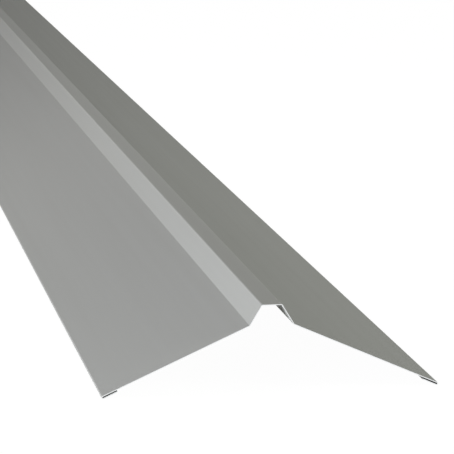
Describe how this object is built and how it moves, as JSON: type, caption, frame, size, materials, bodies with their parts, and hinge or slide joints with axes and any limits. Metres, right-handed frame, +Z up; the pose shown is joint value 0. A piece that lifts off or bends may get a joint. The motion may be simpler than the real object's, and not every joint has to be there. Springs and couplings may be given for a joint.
{
  "type": "roof ridge cap",
  "caption": "Long ridge cap folded from coated sheet steel: a raised flat-topped rib, a wing sloping down on each side and open hems under the outer edges, to cover a roof's ridge.",
  "frame": {"origin": "on the ground plane that the hems stand on, under the middle of the cap", "axes": "+Y along the cap, +X across it, +Z up through the rib"},
  "size_m": [0.2414, 3, 0.0629],
  "materials": {
    "coated_steel": "matt signal-grey polyester coat on galvanised steel, with bare cut edges"
  },
  "bodies": {
    "root": {"ridge_cap": "coated_steel"}
  },
  "joints": []
}
